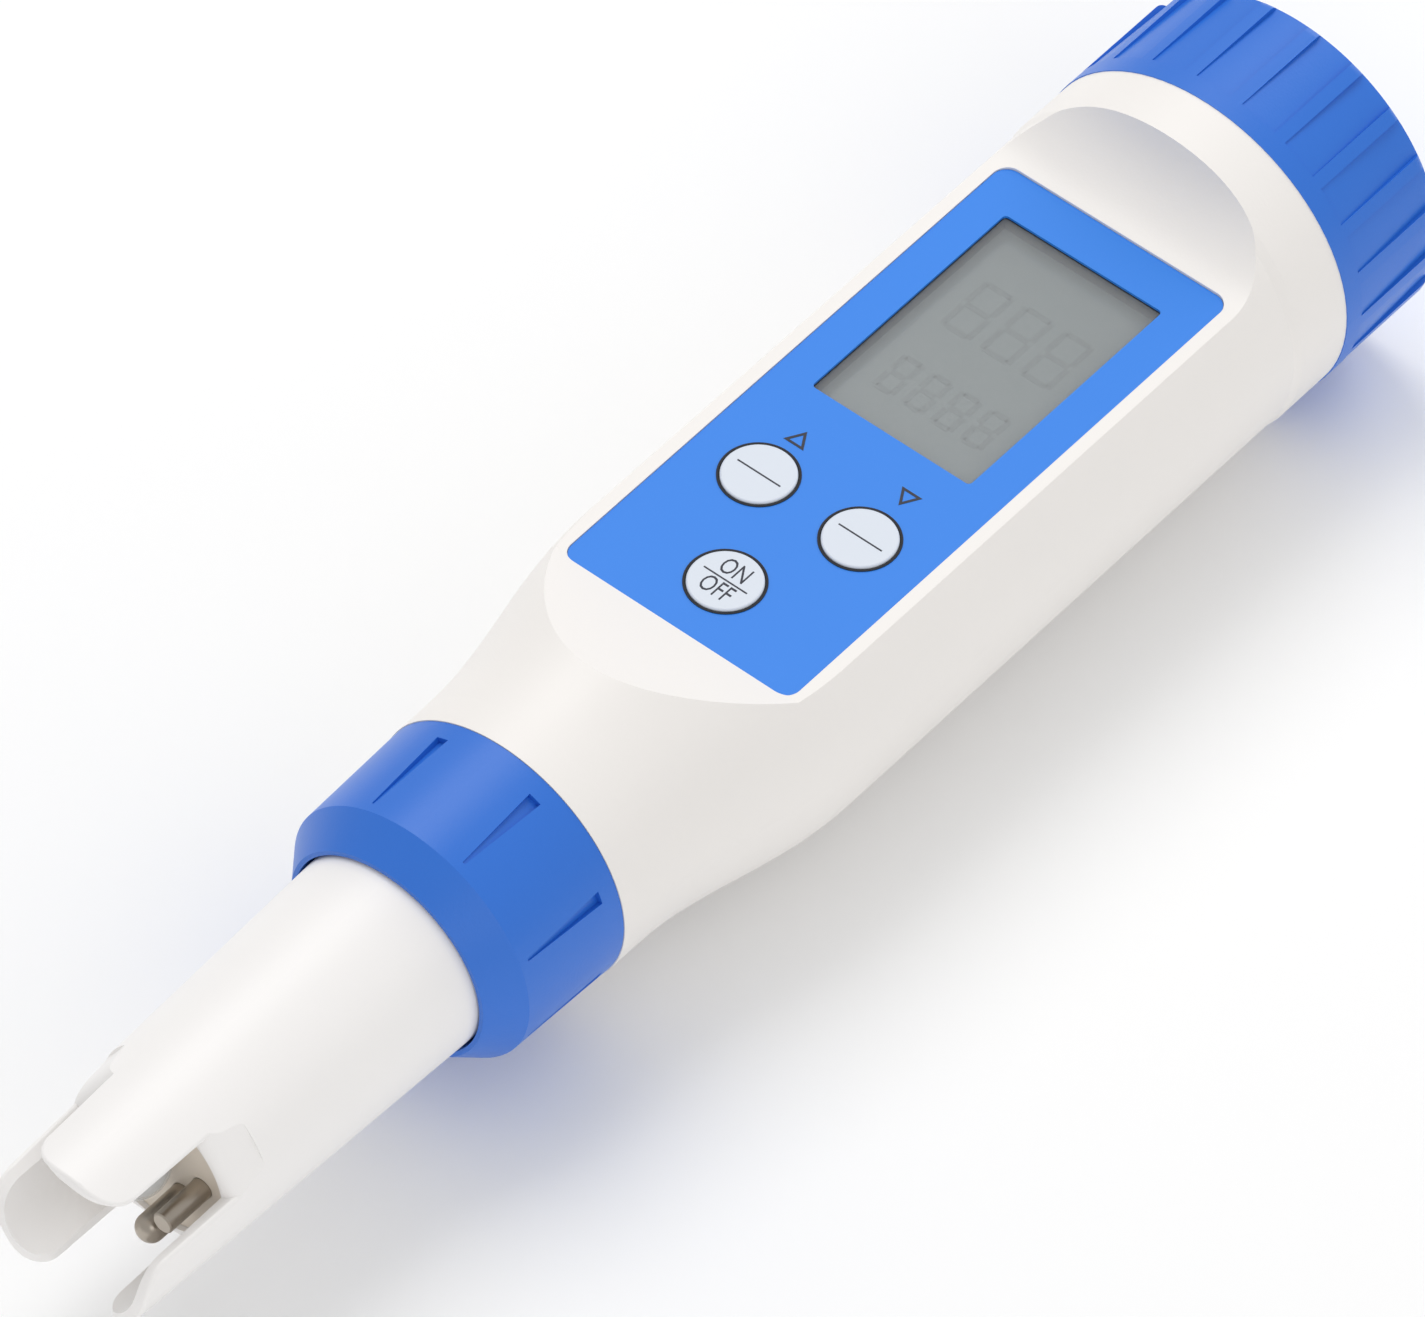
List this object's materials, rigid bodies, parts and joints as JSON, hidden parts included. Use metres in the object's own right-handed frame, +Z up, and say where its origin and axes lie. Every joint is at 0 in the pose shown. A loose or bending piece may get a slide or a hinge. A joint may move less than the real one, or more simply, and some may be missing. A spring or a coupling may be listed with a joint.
{
  "type": "pen water quality meter",
  "caption": "Pen-type water quality meter with display face, push buttons, screw-on battery cap, collar nut and pronged sensor probe.",
  "frame": {"origin": "on the surface it lies on, below the middle of the meter's length and width", "axes": "+Y towards the battery cap, -Y towards the probe tip, +Z up out of the display face, +X across to the right of the display"},
  "size_m": [0.0402, 0.19, 0.0401],
  "materials": {
    "white_shell": "fine satin moulded ABS",
    "white_probe": "satin moulded ABS",
    "blue_plastic": "satin moulded ABS",
    "blue_label": "printed polycarbonate film",
    "button_white": "satin printed cap",
    "black_rubber": "matt",
    "black_plastic": "satin",
    "clear_lens": "clear, polished",
    "lcd_glass": "grey-green display glass",
    "green_board": "solder-masked board",
    "steel": "turned stainless steel",
    "nickel": "nickel-plated strip",
    "silver": "drawn wire",
    "brass_pins": "gilt",
    "cream_potting": "satin resin",
    "electrode_glass": "clear blown glass",
    "porous_ceramic": "porous"
  },
  "bodies": {
    "housing": {"front_shell": "white_shell", "rear_shell": "white_shell", "panel_label": "blue_label", "button_seals": "black_rubber", "window_lens": "clear_lens", "lcd_glass": "lcd_glass", "lcd_frame": "black_plastic", "zebra_strips": "black_rubber", "main_board": "green_board", "tact_switches": "black_plastic", "board_chips": "black_plastic", "board_screws": "steel", "neck_seal": "black_rubber", "battery_contacts": "nickel", "probe_socket": "black_plastic"},
    "hold_key": {"hold_button": "button_white"},
    "mode_key": {"mode_button": "button_white"},
    "power_key": {"power_button": "button_white"},
    "battery_carrier": {"battery_tray": "black_plastic", "button_cells": "steel", "cell_contacts": "nickel"},
    "cap": {"battery_cap": "blue_plastic"},
    "probe": {"probe_tube": "white_probe", "sensor_base": "cream_potting", "glass_bulb": "electrode_glass", "silver_wire": "silver", "conductivity_pins": "steel", "temperature_pin": "steel", "reference_junction": "porous_ceramic", "probe_plug": "black_plastic", "plug_pins": "brass_pins", "probe_gasket": "black_rubber"},
    "collar": {"collar_nut": "blue_plastic"}
  },
  "joints": [
    {"name": "hold_press", "type": "slide", "parent": "housing", "child": "hold_key", "axis": [0, 0, -1], "range_m": [0, 0.00035], "stiffness_N_per_m": 3000},
    {"name": "mode_press", "type": "slide", "parent": "housing", "child": "mode_key", "axis": [0, 0, -1], "range_m": [0, 0.00035], "stiffness_N_per_m": 3000},
    {"name": "power_press", "type": "slide", "parent": "housing", "child": "power_key", "axis": [0, 0, -1], "range_m": [0, 0.00035], "stiffness_N_per_m": 3000},
    {"name": "cap_lift", "type": "slide", "parent": "housing", "child": "battery_carrier", "axis": [0, 1, 0], "range_m": [0, 0.012]},
    {"name": "cap_turn", "type": "hinge", "parent": "battery_carrier", "child": "cap", "pos_m": [0, 0.09, 0.02005], "axis": [0, 1, 0], "range_deg": [0, 1440]},
    {"name": "probe_pull", "type": "slide", "parent": "housing", "child": "probe", "axis": [0, -1, 0], "range_m": [0, 0.01]},
    {"name": "collar_turn", "type": "hinge", "parent": "probe", "child": "collar", "pos_m": [0, -0.04, 0.02005], "axis": [0, -1, 0], "range_deg": [0, 1440]}
  ],
  "couplings": [
    {"joint": "cap_lift", "follows": "cap_turn", "m_per_rad": 0.00047746},
    {"joint": "probe_pull", "follows": "collar_turn", "m_per_rad": 0.00039789}
  ]
}
